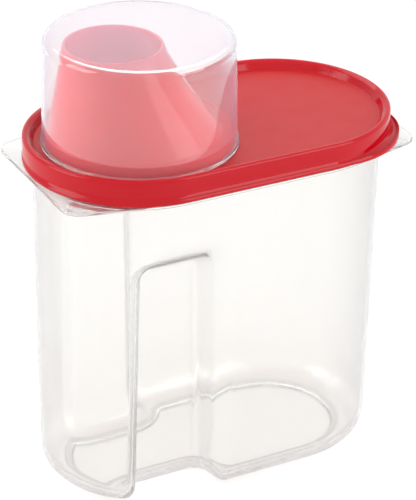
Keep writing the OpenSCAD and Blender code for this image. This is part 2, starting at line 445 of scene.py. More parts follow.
def bend_rows(x, z):
    """Bends a grid of starts so that its lines run round a grip's upper corners.

    Across and up are measured from the centre of the corner. The square of lines around that
    centre becomes a set of quarter rounds, which fade back to a square further out.
    """
    back = np.broadcast_to(np.arange(len(heading)) < len(half_heading), x.shape)
    left = np.where(back, BACK_GRIP["left"], FRONT_GRIP["left"]) - GRIP_WIDEN / 2
    right = np.where(back, BACK_GRIP["right"], FRONT_GRIP["right"]) + GRIP_WIDEN / 2
    middle = (left + right) / 2
    side = np.clip((x - middle) / SIDE_BLEND, -1, 1)
    fade = np.clip((HALF_SPAN - x) / BEND_FADE, 0, 1) * np.clip((BEND_TOP - z) / BEND_FADE, 0, 1)
    moved = x + side * (grip_widen(z) - GRIP_WIDEN / 2) * fade
    half = (right - left) / 2 + (grip_widen(z) - GRIP_WIDEN / 2) * fade
    across = np.abs(moved - middle) - (half - GRIP_CORNER)
    up = z - (GRIP_TOP - GRIP_CORNER)
    far = np.maximum(across, up)
    quarter = (across > 0) & (up > 0)
    low = np.minimum(across, up) / np.where(far > 0, far, 1)
    angle = np.where(up < across, low, 2 - low) * math.pi / 4
    blend = smooth_step(far, BEND_ROUND, BEND_SQUARE)
    round_across = far * np.cos(angle) * (1 - blend) + across * blend
    round_up = far * np.sin(angle) * (1 - blend) + up * blend
    shift = np.where(quarter, round_across - across, 0)
    lift = np.where(quarter, round_up - up, 0)
    return moved + np.sign(moved - middle) * shift, z + lift


bent_rows = bend_rows(start, np.full(len(start), GRIP_TOP))[1]
print("at the grips' top the rays dip by up to", round(float(GRIP_TOP - bent_rows.min()), 1), "mm")

# %% Follow the rays to the skin
LONGEST_RAY = 110.0
HALVINGS = 40


def reach(origin, direction, inside, level):
    """Points on rays where an inside-distance falls to a level, found by halving."""
    near = np.zeros(origin.shape[:-1])
    far = np.full(origin.shape[:-1], LONGEST_RAY)
    for _ in range(HALVINGS):
        middle = (near + far) / 2
        within = inside(origin + direction * middle[..., None]) > level
        near = np.where(within, middle, near)
        far = np.where(within, far, middle)
    return origin + direction * near[..., None]


def level_rays(x, z):
    """Origins on the long axis and directions (cos, sin, 0) of level rays from a grid of starts."""
    origin = np.stack([x, np.zeros_like(x), z], axis=-1)
    turn = np.broadcast_to(heading, x.shape)
    return origin, np.stack([np.cos(turn), np.sin(turn), np.zeros_like(x)], axis=-1)


print("rays end within", LONGEST_RAY / 2 ** HALVINGS, "mm of the skin")

# %% [markdown]
# Below the height of the base rounding the rays tilt down. The tilt is worked out for each ray
# from how far away the wall is, so that every ray has the same turns around the base rounding.

# %% Tilts around the base
def base_tilts(origin, direction):
    """Downward tilt of each ray, in rows from the middle of the floor to the foot of the wall.

    A row round the base aims at the height that a quarter circle has at the row's distance
    inside the walls, and its tilt is the angle whose tangent is drop over run. Rows of the floor
    end at shares of the innermost run.
    """
    tilts = []
    for walls in base_walls:
        height = BASE_ROUND - math.sqrt(BASE_ROUND ** 2 - max(BASE_ROUND - walls, 0) ** 2)
        foot = origin * [1, 1, 0] + [0, 0, height]
        run = np.linalg.norm(reach(foot, direction, inside_walls, walls) - foot, axis=-1)
        tilts.append(np.arctan2(BASE_ROUND - height, run))
    inner_run = BASE_ROUND / np.tan(tilts[0])
    floor_tilt = np.arctan2(BASE_ROUND, inner_run * floor_shares[:, None])
    return np.concatenate([floor_tilt, np.concatenate(tilts)])[..., None]


print(len(floor_shares) + len(base_walls), "tilted rows from the middle of the floor outwards")

# %% Skins of the tub
def tub_skin(level, lift):
    """Rings of the tub's skin at one depth inside it, from the middle of the floor upwards.

    A tilted ray's direction is cos tilt of its level direction and sin tilt straight down.
    """
    def inside(point):
        """Distance inside the tub with this lift."""
        return inside_tub(point, lift)

    foot_x, foot_z = bend_rows(start[None], np.full((1, len(start)), BASE_ROUND))
    origin, direction = level_rays(foot_x, foot_z)
    tilt = base_tilts(origin, direction)
    tilted = direction * np.cos(tilt) + np.array([0, 0, -1]) * np.sin(tilt)
    origin = np.broadcast_to(origin, tilted.shape)
    base = reach(origin, tilted, inside, level)
    x, z = np.broadcast_arrays(start[None], wall_rows[:, None])
    wall_x, wall_z = bend_rows(x, z)
    walls = reach(*level_rays(wall_x, wall_z), inside, level)
    return np.concatenate([base, walls])


outer_skin = tub_skin(0, under_lift)
inner_skin = tub_skin(WALL, floor_lift)
print("skins", outer_skin.shape, inner_skin.shape)

# %% [markdown]
# ## Container: the mouth
# A flange runs round the mouth under the lid's skirt, and a thin rim with a catch bead stands on
# it. The rim follows the oval. The flange's outline is the oval joined to four small rounded
# tips, so it comes to a blunt point at each corner. The outline is again a distance, so the same
# rays find it, and the rows of the mouth are one rounded profile.

# %% Flange outline
FLANGE_RADIUS = 52.6
FLANGE_END = TAB_CORNER[0] + TAB_ROUND
TAB_TURN = math.radians(75.2)


def inside_oval(point):
    """Distance inside an oval of no width: less than nothing by the distance from its spine."""
    return -spine_distance(point[..., 0], point[..., 1])


def inside_flange(point):
    """Distance inside the flange's outline with its four blunt corners.

    Past the tab's turn the flange ends in a wedge: a straight end, and a slant that touches the
    oval at that turn, with the corner between them rounded.
    """
    x, y = np.abs(point[..., 0]), np.abs(point[..., 1])
    oval = FLANGE_RADIUS - spine_distance(x, y)
    slant = FLANGE_RADIUS - (x - HALF_SPAN) * math.cos(TAB_TURN) - y * math.sin(TAB_TURN)
    wedge = soft_min(FLANGE_END - x, slant, TAB_ROUND)
    turned = np.arctan2(y, x - HALF_SPAN)
    return np.where(turned > TAB_TURN, oval, wedge)


print("flange from end to end:", round(2 * FLANGE_END, 1), "mm")

# %% Flange and rim
MOUTH_LOW = 164.0
RIM_OUT = 51.0
RIM_IN = TOP_RADIUS
BEAD = 0.4
BEAD_MIDDLE = 175.4
FLANGE_FROM = RIM_OUT + 0.8
HAIR = 0.01
mouth = rounded([
    (TOP_RADIUS - HAIR, MOUTH_LOW, 0),
    (TOP_RADIUS, FLANGE_LOW, 1.0),
    (FLANGE_RADIUS, FLANGE_LOW, 0.5),
    (FLANGE_RADIUS, FLANGE_TOP, 0.6),
    (RIM_OUT, FLANGE_TOP, 0.6),
    (RIM_OUT, BEAD_MIDDLE - BEAD, 0.3),
    (RIM_OUT + BEAD, BEAD_MIDDLE, 0.3),
    (RIM_OUT, BEAD_MIDDLE + BEAD, 0.3),
    (RIM_OUT, RIM_TOP, 0.7),
    (RIM_IN, RIM_TOP, 0.7),
    (RIM_IN, FLANGE_TOP, 0.8),
    (TOP_RADIUS - WALL, FLANGE_LOW, 0.8),
    (TOP_RADIUS - WALL - HAIR, MOUTH_LOW, 0),
])
print(len(mouth), "rows round the mouth, up to", round(RIM_TOP, 1), "mm")


# %% Container skin
def mouth_rings(profile):
    """Rings of the mouth: rows past the rim's foot follow the flange, the others the oval.

    A row of the flange lies inside its outline by the flange's radius less the row's own.
    """
    rings = []
    origin, direction = level_rays(start, np.zeros_like(start))
    for radius, height in profile:
        if radius > FLANGE_FROM:
            ring = reach(origin, direction, inside_flange, FLANGE_RADIUS - radius)
        else:
            ring = reach(origin, direction, inside_oval, -radius)
        ring[:, 2] = height
        rings.append(ring)
    return np.array(rings)


container_rings = np.concatenate([outer_skin, mouth_rings(mouth), inner_skin[::-1]])
container_shell = skin_from_rings("container_shell", container_rings)

# %% [markdown]
# ## Container: marks for its finish and its painted shade
# The floor is thicker over the foot ring, and light is lost at the ring's edges, so they look
# grey through the clear walls. That grey is painted shade in the colour, and the ring is also
# made duller. Around the flange, light is led further before it comes out. A second material
# could be given to those faces, but it would end in steps along their edges. A number on each
# point is used instead, which the material reads as it changes across a face.

# %% Mark helpers
MARKED = 0.4


def points_of(mesh, precision):
    """Points of a mesh in millimetres, in numbers of a precision."""
    points = np.empty(len(mesh.vertices) * 3, dtype=precision)
    mesh.vertices.foreach_get("co", points)
    return points.reshape(-1, 3) / MM


def write_mark(mesh, name, marks):
    """Writes a number on each point of a mesh, and returns how many points count as marked."""
    layer = mesh.attributes.new(name, "FLOAT", "POINT")
    layer.data.foreach_set("value", marks.astype(np.float32))
    return int((marks > MARKED).sum())


tub_points = points_of(container_shell.data, np.float64)
print(len(tub_points), "points on the container")

# %% Marks on the container
RING_MARK = 0.6
FULL_EDGE = 0.1
MARK_FOOT = (0.3, 0.6)
MARK_HEAD = (6, 7)
FLANGE_MARK_LOW = FLANGE_LOW - 0.5


def foot_marks(points):
    """Marks of the inner floor: partly on the thick ring, and fully along its two edges.

    The ring is the product of two smooth steps of the distance inside the walls, and another
    pair of smooth steps keeps the marks to the heights of the inner floor.
    """
    walls = inside_walls(points)
    inner_edge = RING_IN + RING_EDGE
    ring = smooth_step(walls, RING_OUT - RING_EDGE, RING_OUT)
    ring *= smooth_step(walls, inner_edge + RING_EDGE, inner_edge)
    edges = np.minimum(np.abs(walls - RING_OUT), np.abs(walls - inner_edge))
    marks = np.maximum(ring * RING_MARK, 1 - smooth_step(edges, FULL_EDGE, RING_EDGE))
    height = points[:, 2]
    return marks * (smooth_step(height, *MARK_FOOT) * (1 - smooth_step(height, *MARK_HEAD)))


on_flange = tub_points[:, 2] > FLANGE_MARK_LOW
# The foot mark adds roughness and paints grey shade on the foot ring and its edges.
print("foot ring:", write_mark(container_shell.data, "foot_roughness_and_shade", foot_marks(tub_points)), "points")
print("flange:", write_mark(container_shell.data, "flange_mark", on_flange), "points")
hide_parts("container")
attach(container_shell, "container")

# %% [markdown]
# ## Lid
# The lid is one moulding: a skirt with a lip and a pull tab, a bevelled crest, a sunken panel, a
# round collar with the pouring spout on it, and a channel underneath that takes the container's
# rim. It could be joined from separate solids, but then each joint would show as a crease. Its
# skin is one closed tube of rings instead, which starts at the skirt's lower edge, goes over the
# top, through the spout and back under the panel. Some rings are ovals and others are circles
# around the cup's axis, and both kinds share the same number of points.

# %% Lid sizes
CUP_AXIS = np.array([-36.6, 0.0])
SKIRT_LOW = lid_low[2]
LIP_RADIUS = 53.8
LIP_STEP = 0.2
LIP_HEIGHT = 2.2
SKIRT_RADIUS = LIP_RADIUS - LIP_STEP
CREST = 182.1
BEVEL_RADIUS = 49.9
BEVEL_HEIGHT = 179.6
PANEL_RADIUS = 48.2
PANEL_TOP = cup_low[2]
PANEL_WALL = 1.8
PANEL_LOW = PANEL_TOP - PANEL_WALL
print("panel from", round(PANEL_LOW, 1), "to", round(PANEL_TOP, 1), "mm, crest at", CREST)

# %% Points shared by ovals and circles
JOIN_RADIUS = 49
LINE_STEP = math.radians(2.5)
END_STEP = 2.25
turn_end = math.atan2(JOIN_RADIUS, HALF_SPAN - CUP_AXIS[0])
line_turns = np.arange(turn_end, math.pi / 2, LINE_STEP)[1:]
line_x = CUP_AXIS[0] + JOIN_RADIUS / np.tan(line_turns)
end_turns = np.radians(np.arange(0, 90.1, END_STEP))
right_centres = np.full(len(end_turns), HALF_SPAN)
left_centres = np.full(len(end_turns) - 1, -HALF_SPAN)
half_turn = np.concatenate([
    end_turns, np.full(len(line_x), math.pi / 2), math.pi / 2 + end_turns[:-1]
])
half_centre = np.concatenate([right_centres, line_x, left_centres])
turn = np.concatenate([half_turn, [math.pi], -half_turn[:0:-1]])
centre = np.concatenate([half_centre, [-HALF_SPAN], half_centre[:0:-1]])
oval_way = np.stack([np.cos(turn), np.sin(turn)], axis=-1)
oval_centre = np.stack([centre, np.zeros_like(centre)], axis=-1)
circle_way = oval_centre + oval_way * JOIN_RADIUS - CUP_AXIS
circle_way /= np.linalg.norm(circle_way, axis=-1, keepdims=True)
print(len(turn), "points in each ring of the lid")


# %% Ovals and circles
def ring_at(outline, height):
    """Ring of points from an outline in plan, at one height."""
    return np.concatenate([outline, np.full((len(outline), 1), height)], axis=-1)


def oval(radius, extra=0):
    """Outline of the oval, pushed outwards by an extra reach where there is one."""
    return oval_centre + oval_way * (radius + np.asarray(extra)[..., None])


def circle(radius, x=CUP_AXIS[0]):
    """Outline of a circle whose centre is on the lid's long axis."""
    return np.array([x, 0.0]) + circle_way * radius


print("the oval's length:", round(float(2 * oval(LIP_RADIUS)[:, 0].max()), 1), "mm")

# %% [markdown]
# ## Lid: the pull tab
# A thumb lifts the lid by a broad tab that grows out of the lip at one corner. It could be a
# separate disc, but on the real lid it flows into the lip. So it is the edge of a disc, which
# only counts where it passes the lip, with a soft corner between the two, and it stops level
# with the lid's long side. On top it has a raised edge and a hollow for the thumb.

# %% Pull tab
PULL_ANGLE = math.radians(-45)
PULL_SHIFT = 18.6
PULL_RADIUS = 40.0
PULL_SOFTNESS = 0.5
PULL_DIP = 0.9
PULL_EDGE = 1.2
PULL_RISE = 2.0
PULL_SHARES = [1, 0.93, 0.85, 0.75, 0.62, 0.5, 0.38, 0.27, 0.17, 0.08, 0]
FAR_INSIDE = -5
LEAST_SINE = 0.1
from_pull = turn - PULL_ANGLE
disc_edge = PULL_SHIFT * np.cos(from_pull) + np.sqrt(
    PULL_RADIUS ** 2 - (PULL_SHIFT * np.sin(from_pull)) ** 2
)
past_lip = np.where(centre == HALF_SPAN, disc_edge - LIP_RADIUS, FAR_INSIDE)
past_lip = np.maximum(past_lip, FAR_INSIDE)
pull_reach = (past_lip + np.sqrt(past_lip ** 2 + PULL_SOFTNESS ** 2)) / 2
pull_room = LIP_RADIUS / np.maximum(np.abs(np.sin(turn)), LEAST_SINE) - LIP_RADIUS
pull_reach = np.clip(pull_reach - pull_reach.min(), 0, pull_room)
pull_part = pull_reach / pull_reach.max()
print("pull tab reaches", round(float(pull_reach.max()), 2), "mm past the lip")


# %% Rings of the lip and the tab
TAB_INSET = 0.15
LIP_FLAT = 0.9


def pull_rings(shares):
    """Rings over the top of the pull tab, from its raised edge at 1 in to the skirt at 0.

    The lift is a fourth power at the edge and a third power at the skirt, less a parabola
    between them, so that the thumb finds a hollow.
    """
    rings = []
    for share in shares:
        lift = PULL_RISE * (1 - share) ** 3 + PULL_EDGE * share ** 4
        lift -= 4 * PULL_DIP * share * (1 - share)
        outline = oval(LIP_RADIUS - TAB_INSET, pull_reach * share)
        ring = ring_at(outline, SKIRT_LOW + LIP_HEIGHT)
        ring[:, 2] += lift * pull_part
        rings.append(ring)
    return rings


def lip_rings(profile):
    """Rings round the skirt's lower edge, whose upper part rises where the pull tab is.

    The rise is the tab's raised edge, times the share of the lip's height.
    """
    rings = []
    for radius, height in profile:
        ring = ring_at(oval(radius, pull_reach), height)
        ring[:, 2] += PULL_EDGE * pull_part * (height - SKIRT_LOW) / LIP_HEIGHT
        rings.append(ring)
    return rings


lip = rounded([
    (LIP_RADIUS - LIP_FLAT, SKIRT_LOW, 0),
    (LIP_RADIUS, SKIRT_LOW, 0.4),
    (LIP_RADIUS, SKIRT_LOW + LIP_HEIGHT, 0.14),
])
lip_and_tab = lip_rings(lip) + pull_rings(PULL_SHARES)
print(len(lip_and_tab), "rings in the lip and the tab")

# %% [markdown]
# ## Lid: the spout
# The spout is a hollow leaning cone. Its long side bulges down towards the panel, and its steep
# side rises from the collar. It could be lofted between two circles, but the sides would then be
# straight. So every ring is a circle through two reaches from the cup's axis, and each reach is
# a formula of how far down the ring is.

# %% Spout
COLLAR_HEIGHT = 7.0
LEDGE = PANEL_TOP + COLLAR_HEIGHT
SPOUT_TOP = lid_high[2]
SPOUT_WALL = 1.6
SPOUT_ROWS = 24
LONG_MOUTH = 9.8
LONG_SPREAD = 28.3
LONG_BULGE = 1.25
STEEP_MOUTH = 36.6
STEEP_SPREAD = 6.5
SPOUT_FILLET = 0.5
FILLET_BEND = 0.12
SPOUT_ROUND = 0.7
SPOUT_FLAT = 0.6
SPOUT_BEND = 0.2
THROAT_STEP = 0.1


def spout_reach(part):
    """How far the spout reaches from the cup's axis, from its mouth at 0 to its foot at 1.

    The long side bulges by a power of the part of the way down, and the steep side is straight.
    """
    return LONG_MOUTH + LONG_SPREAD * part ** LONG_BULGE, STEEP_MOUTH + STEEP_SPREAD * part


def spout_ring(inset, height):
    """Ring of the spout at a height, moved inwards by an inset.

    Its diameter is the sum of both reaches, and its centre lies half their difference away.
    """
    part = min((SPOUT_TOP - height) / (SPOUT_TOP - LEDGE), 1)
    near, far = spout_reach(part)
    return ring_at(circle((near + far) / 2 - inset, CUP_AXIS[0] + (near - far) / 2), height)


side_top = SPOUT_TOP - SPOUT_ROUND
bend_height = SPOUT_TOP - SPOUT_BEND
spout = [(-SPOUT_FILLET, LEDGE), (-FILLET_BEND, LEDGE + FILLET_BEND)]
spout += [(0, height) for height in np.linspace(LEDGE + SPOUT_FILLET, side_top, SPOUT_ROWS)]
spout += [(SPOUT_BEND, bend_height), (SPOUT_FLAT, SPOUT_TOP)]
spout += [(SPOUT_WALL - SPOUT_FLAT, SPOUT_TOP), (SPOUT_WALL - SPOUT_BEND, bend_height)]
spout += [(SPOUT_WALL, height) for height in np.linspace(side_top, LEDGE, SPOUT_ROWS)]
spout += [(SPOUT_WALL + THROAT_STEP, LEDGE - SPOUT_WALL)]
print("spout from", round(LEDGE, 1), "to", round(SPOUT_TOP, 1), "mm in", len(spout), "rings")

# %% Skirt and collar profiles
SKIRT_START = 0.6
PANEL_EDGE = 1.2
COLLAR_RADIUS = 43.9
COLLAR_FILLET = 0.9
LEDGE_WIDTH = 0.65
skirt = rounded([
    (SKIRT_RADIUS, SKIRT_LOW + LIP_HEIGHT + PULL_RISE + SKIRT_START, 0),
    (SKIRT_RADIUS, CREST, 1.5),
    (BEVEL_RADIUS, BEVEL_HEIGHT, 1.0),
    (PANEL_RADIUS, PANEL_TOP, 0.6),
    (PANEL_RADIUS - PANEL_EDGE, PANEL_TOP, 0),
])
collar = rounded([
    (COLLAR_RADIUS + COLLAR_FILLET, PANEL_TOP, 0),
    (COLLAR_RADIUS, PANEL_TOP, 0.5),
    (COLLAR_RADIUS, LEDGE, 0.6),
    (COLLAR_RADIUS - LEDGE_WIDTH, LEDGE, 0),
])
print(len(skirt), "rings in the skirt and the crest,", len(collar), "in the collar")

# %% Underside profiles
CLEARANCE = 0.3
THROAT_RADIUS = COLLAR_RADIUS - SPOUT_WALL
THROAT_FILLET = 0.8
PANEL_UNDER = 48.0
CHANNEL_IN = RIM_IN - CLEARANCE
CHANNEL_OUT = RIM_OUT + CLEARANCE
SKIRT_INSIDE = 52.0
SKIRT_FOOT = 52.7
under = rounded([
    (THROAT_RADIUS, LEDGE - SPOUT_WALL, 0.4),
    (THROAT_RADIUS, PANEL_LOW, 0.4),
    (THROAT_RADIUS + THROAT_FILLET, PANEL_LOW, 0),
])
channel = rounded([
    (PANEL_UNDER, PANEL_LOW, 0),
    (CHANNEL_IN, PANEL_LOW, 0.4),
    (CHANNEL_IN, RIM_TOP, 0.3),
    (CHANNEL_OUT, RIM_TOP, 0.3),
    (SKIRT_INSIDE, SKIRT_LOW, 0.4),
    (SKIRT_FOOT, SKIRT_LOW, 0),
])
print("channel", round(CHANNEL_OUT - CHANNEL_IN, 1), "mm wide")

# %% Lid skin
lid_rings = lip_and_tab
lid_rings += [ring_at(oval(radius), height) for radius, height in skirt]
lid_rings += [ring_at(circle(radius), height) for radius, height in collar]
lid_rings += [spout_ring(inset, height) for inset, height in spout]
lid_rings += [ring_at(circle(radius), height) for radius, height in under]
lid_rings += [ring_at(oval(radius), height) for radius, height in channel]
lid_cover = skin_from_rings("lid_cover", np.array(lid_rings), endless=True)

# %% [markdown]
# The panel has a satin finish. The inside of the spout has painted light: a lighter red stands
# in for the red light that is thrown from wall to wall in it. Both places get a number on their
# points, as on the container.

# %% Marks on the lid
LEVEL_WITHIN = 0.05
BELOW_LEDGE = 0.1
WALL_SLACK = 0.2


def on_panel(x, y, z):
    """True on the level panel: at its height, and nearer to the spine than its radius."""
    return (np.abs(z - PANEL_TOP) < LEVEL_WITHIN) & (spine_distance(x, y) < PANEL_RADIUS)


def in_throat(x, y, z):
    """True inside the spout: above its ledge, and nearer to its middle than its inner wall."""
    part = np.clip((SPOUT_TOP - z) / (SPOUT_TOP - LEDGE), 0, 1)
    near, far = spout_reach(part)
    from_middle = np.hypot(x - CUP_AXIS[0] - (near - far) / 2, y)
    inner = from_middle < (near + far) / 2 - SPOUT_WALL + WALL_SLACK
    return (z > LEDGE - SPOUT_WALL - BELOW_LEDGE) & inner


# Single precision is enough for marks that are 0 or 1.
lid_points = points_of(lid_cover.data, np.float32).T
print("panel:", write_mark(lid_cover.data, "satin", on_panel(*lid_points)), "points")
# The throat mark paints light into the spout's inside as a lighter red.
print("throat:", write_mark(lid_cover.data, "throat_painted_light", in_throat(*lid_points)), "points")
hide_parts("lid")
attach(lid_cover, "lid")

# %% [markdown]
# ## Measuring cup
# The cup is a turned shape: one rounded profile carried round its axis. It stands upside down,
# so its closed end is on top and its lip stands on the lid's panel. A Screw modifier could turn
# the profile too, but rings keep it in the same form as the other two pieces.

# %% Cup
CUP_TOP = cup_high[2]
CUP_LIP_RADIUS = 46.7
CUP_LIP_HEIGHT = 1.5
CUP_LIP_WIDTH = 2.3
CUP_WALL_RADIUS = 45.8
CUP_WALL_LOW = 2.0
CUP_END_RADIUS = 44.5
CUP_WALL = 1.4
CUP_ROUND = 3.6
CUP_STEP = 2.5
cup_profile = rounded([
    (0, CUP_TOP, 0),
    (CUP_END_RADIUS, CUP_TOP, CUP_ROUND),
    (CUP_WALL_RADIUS, PANEL_TOP + CUP_WALL_LOW, 0.5),
    (CUP_LIP_RADIUS, PANEL_TOP + CUP_LIP_HEIGHT, 0.7),
    (CUP_LIP_RADIUS, PANEL_TOP, 0.4),
    (CUP_LIP_RADIUS - CUP_LIP_WIDTH, PANEL_TOP, 0.4),
    (CUP_END_RADIUS - CUP_WALL, CUP_TOP - CUP_WALL, CUP_ROUND - CUP_WALL),
    (0, CUP_TOP - CUP_WALL, 0),
], steps=9)
cup_turns = np.radians(np.arange(0, 360, CUP_STEP))
cup_way = np.stack([np.cos(cup_turns), np.sin(cup_turns)], axis=-1)
cup_rings = [ring_at(CUP_AXIS + cup_way * radius, height) for radius, height in cup_profile]
measuring_cup_shell = skin_from_rings("measuring_cup_shell", np.array(cup_rings))
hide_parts("measuring_cup")
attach(measuring_cup_shell, "measuring_cup")

# %% [markdown]
# ## Materials
# A material is a tree of nodes. Its nodes can be placed by hand, but a few helpers keep the
# trees short: each adds one node, feeds its inputs with values or with other nodes' outputs, and
# hands back what the next node needs.

# %% Node helpers
def feed(tree, entry, value):
    """Sets a node's input to a number or colour, or links another node's output to it."""
    if isinstance(value, bpy.types.NodeSocket):
        tree.links.new(value, entry)
    else:
        entry.default_value = value


def add_node(tree, kind, **sockets):
    """Adds a node and feeds its inputs by name, with underscores for spaces."""
    node = tree.nodes.new(kind)
    for socket, value in sockets.items():
        feed(tree, node.inputs[socket.replace("_", " ")], value)
    return node


def work_out(tree, operation, *values):
    """Result of a Math node with an operation on two or three values."""
    node = tree.nodes.new("ShaderNodeMath")
    node.operation = operation
    for entry, value in zip(node.inputs, values):
        feed(tree, entry, value)
    return node.outputs["Value"]


def mix_colours(tree, share, first, second):
    """Colour that goes from the first to the second as the share goes from 0 to 1."""
    mix = add_node(tree, "ShaderNodeMixRGB", Fac=share, Color1=first, Color2=second)
    return mix.outputs["Color"]


def new_material(name):
    """Empty node material with its output: returns the material, its tree and the output."""
    material = bpy.data.materials.new(name)
    material.use_nodes = True
    material.node_tree.nodes.clear()
    output = material.node_tree.nodes.new("ShaderNodeOutputMaterial")
    return material, material.node_tree, output


# %% Pattern helpers
NOISE_LOW = 0.3
NOISE_HIGH = 0.7
NOISE_DETAIL = 2.0


def noise_range(tree, scale, low, high):
    """Noise in object coordinates, whose middle range is spread between two values."""
    place = tree.nodes.new("ShaderNodeTexCoord").outputs["Object"]
    noise = add_node(tree, "ShaderNodeTexNoise", Vector=place, Scale=scale, Detail=NOISE_DETAIL)
    spread = add_node(
        tree, "ShaderNodeMapRange", Value=noise.outputs["Fac"],
        From_Min=NOISE_LOW, From_Max=NOISE_HIGH, To_Min=low, To_Max=high,
    )
    return spread.outputs["Result"]


def read_mark(tree, name):
    """The number that the points of a mesh carry under a name."""
    mark = tree.nodes.new("ShaderNodeAttribute")
    mark.attribute_name = name
    return mark.outputs["Fac"]


def ripples(tree, scale, strength, depth):
    """Normal of a surface with faint ripples of noise at a scale."""
    height = noise_range(tree, scale, 0.0, 1.0)
    bump = add_node(tree, "ShaderNodeBump", Strength=strength, Distance=depth, Height=height)
    return bump.outputs["Normal"]


# %% [markdown]
# ## Clear polypropylene
# Clear polypropylene isn't glass. It bends light by 1.49, and its crystals scatter a little of it,
# so it has a milky haze. A Principled shader does both: most of it transmits, and the rest is a
# pale diffuse. The tint deepens where a wall is seen edge on: partly because more plastic lies in
# the line of sight there, and partly as painted shade for the darker surroundings that the edges
# show. The cup also has a faint mauve sheen. A soft noise makes the gloss uneven, as on a real
# moulding, and the foot ring's marks make its edges duller and paint grey shade on them.

# %% Body of the clear plastic
TUB_CLEAR = (0.98, 0.977, 0.96, 1)
# The edge colours are partly painted shade: they darken walls that are seen edge on.
TUB_EDGE_SHADE = (0.56, 0.555, 0.565, 1)
CUP_CLEAR = (0.995, 0.99, 0.985, 1)
CUP_EDGE_SHADE = (0.96, 0.945, 0.965, 1)
SHEEN_COLOUR = (0.72, 0.66, 1.0, 1)
SHEEN_ROUGH = 0.5
# Painted shade: the grey that the foot ring and its edges are given in the colour.
FOOT_SHADE_COLOUR = (0.37, 0.365, 0.37, 1)
FOOT_ROUGH = 0.3
PLASTIC_IOR = 1.49
GLOSS_SCALE = 60.0
RIPPLE_SCALE = 25.0
RIPPLE_STRENGTH = 0.04
RIPPLE_DEPTH = 0.0005


def clear_body(tree, edge_on, haze, smooth, rough, clear, edge, sheen):
    """Shader of clear plastic whose gloss varies between two roughnesses, with milky haze.

    Its roughness is the noise plus the foot mark times a roughness of its own. Its colour goes
    from clear to the edge colour, which is partly painted shade, as the surface turns edge on, and
    to a painted grey shade with the foot mark.
    """
    body = add_node(
        tree, "ShaderNodeBsdfPrincipled", Base_Color=clear, IOR=PLASTIC_IOR,
        Transmission_Weight=1 - haze, Sheen_Weight=sheen, Sheen_Tint=SHEEN_COLOUR,
        Sheen_Roughness=SHEEN_ROUGH, Normal=ripples(tree, RIPPLE_SCALE, RIPPLE_STRENGTH, RIPPLE_DEPTH),
    )
    foot = read_mark(tree, "foot_roughness_and_shade")
    gloss = noise_range(tree, GLOSS_SCALE, smooth, rough)
    feed(tree, body.inputs["Roughness"], work_out(tree, "MULTIPLY_ADD", foot, FOOT_ROUGH, gloss))
    painted_edge_shade = mix_colours(tree, edge_on, clear, edge)
    feed(tree, body.inputs["Base Color"], mix_colours(tree, foot, painted_edge_shade, FOOT_SHADE_COLOUR))
    return body.outputs["BSDF"]


# %% [markdown]
# Lamps have to reach what stands inside the plastic, so shadow rays meet a nearly clear
# Transparent shader instead of the body. The same shader lets go of the rays that have bounced
# more than a few times inside a wall: on the real thing they would come out somewhere, but in a
# render they would end as black lines. On the flange, rays are given one more bounce.

# %% Rays that go straight on
LOST_AFTER = 3.5


def straight_rays(tree):
    """1 for the rays that go straight on, and 0 for the others.

    They are the shadow rays, and those whose depth is more than the flange mark and a number.
    """
    rays = tree.nodes.new("ShaderNodeLightPath").outputs
    patience = work_out(tree, "ADD", read_mark(tree, "flange_mark"), LOST_AFTER)
    lost = work_out(tree, "GREATER_THAN", rays["Ray Depth"], patience)
    return work_out(tree, "MAXIMUM", rays["Is Shadow Ray"], lost)


# %% Clear plastic
EDGE_POWER = 2.0
LAMP_COLOUR = (0.98, 0.98, 0.98, 1)
SHADE_COLOUR = (0.78, 0.78, 0.775, 1)
DEPTH_TINT = (0.2, 0.1, 0.0, 1)
DEPTH_LOSS = 4.0


def clear_plastic(name, **finish):
    """Clear plastic: its body, a plain way through for some rays, and a little loss with depth.

    Edge on is a power of Layer Weight's Facing, which is 0 face on and 1 edge on.
    """
    material, tree, output = new_material(name)
    facing = add_node(tree, "ShaderNodeLayerWeight", Blend=0.5).outputs["Facing"]
    edge_on = work_out(tree, "POWER", facing, EDGE_POWER)
    lamp_tint = mix_colours(tree, edge_on, LAMP_COLOUR, SHADE_COLOUR)
    way_through = add_node(tree, "ShaderNodeBsdfTransparent", Color=lamp_tint)
    mix = add_node(tree, "ShaderNodeMixShader", Fac=straight_rays(tree))
    feed(tree, mix.inputs[1], clear_body(tree, edge_on, **finish))
    feed(tree, mix.inputs[2], way_through.outputs["BSDF"])
    depth = add_node(tree, "ShaderNodeVolumeAbsorption", Color=DEPTH_TINT, Density=DEPTH_LOSS)
    feed(tree, output.inputs["Surface"], mix.outputs["Shader"])
    feed(tree, output.inputs["Volume"], depth.outputs["Volume"])
    return material


container_clear = clear_plastic(
    "container_clear", haze=0.06, smooth=0.04, rough=0.10, clear=TUB_CLEAR, edge=TUB_EDGE_SHADE, sheen=0
)
cup_clear = clear_plastic(
    "cup_clear", haze=0.07, smooth=0.03, rough=0.08, clear=CUP_CLEAR, edge=CUP_EDGE_SHADE, sheen=0.3
)
container_shell.data.materials.append(container_clear)
measuring_cup_shell.data.materials.append(cup_clear)
print("nodes in the clear plastic:", len(container_clear.node_tree.nodes))

# %% [markdown]
# ## Red polypropylene
# The lid is one red moulding, polished on its skirt and spout and satin on its panel. It could
# have two materials, but one material that reads the points' marks has no hard border. The
# satin mark adds roughness and changes the red a little, the throat mark paints light into the
# spout's inside as a lighter red, and a fine noise breaks up the polish.

# %% Red plastic
RED_COLOUR = (0.53, 0.001, 0.009, 1)
RED_GLOSS = 0.3
SATIN_COLOUR = (0.52, 0.006, 0.008, 1)
SATIN_ROUGH = 0.3
# Painted light: a lighter red inside the spout stands in for light thrown between its walls.
PAINTED_THROAT_LIGHT = (0.72, 0.006, 0.06, 1)
POLISH_SCALE = 90.0
POLISH_SMOOTH = 0.07
POLISH_ROUGH = 0.13
GRAIN_SCALE = 140.0
GRAIN_STRENGTH = 0.02
GRAIN_DEPTH = 0.0004


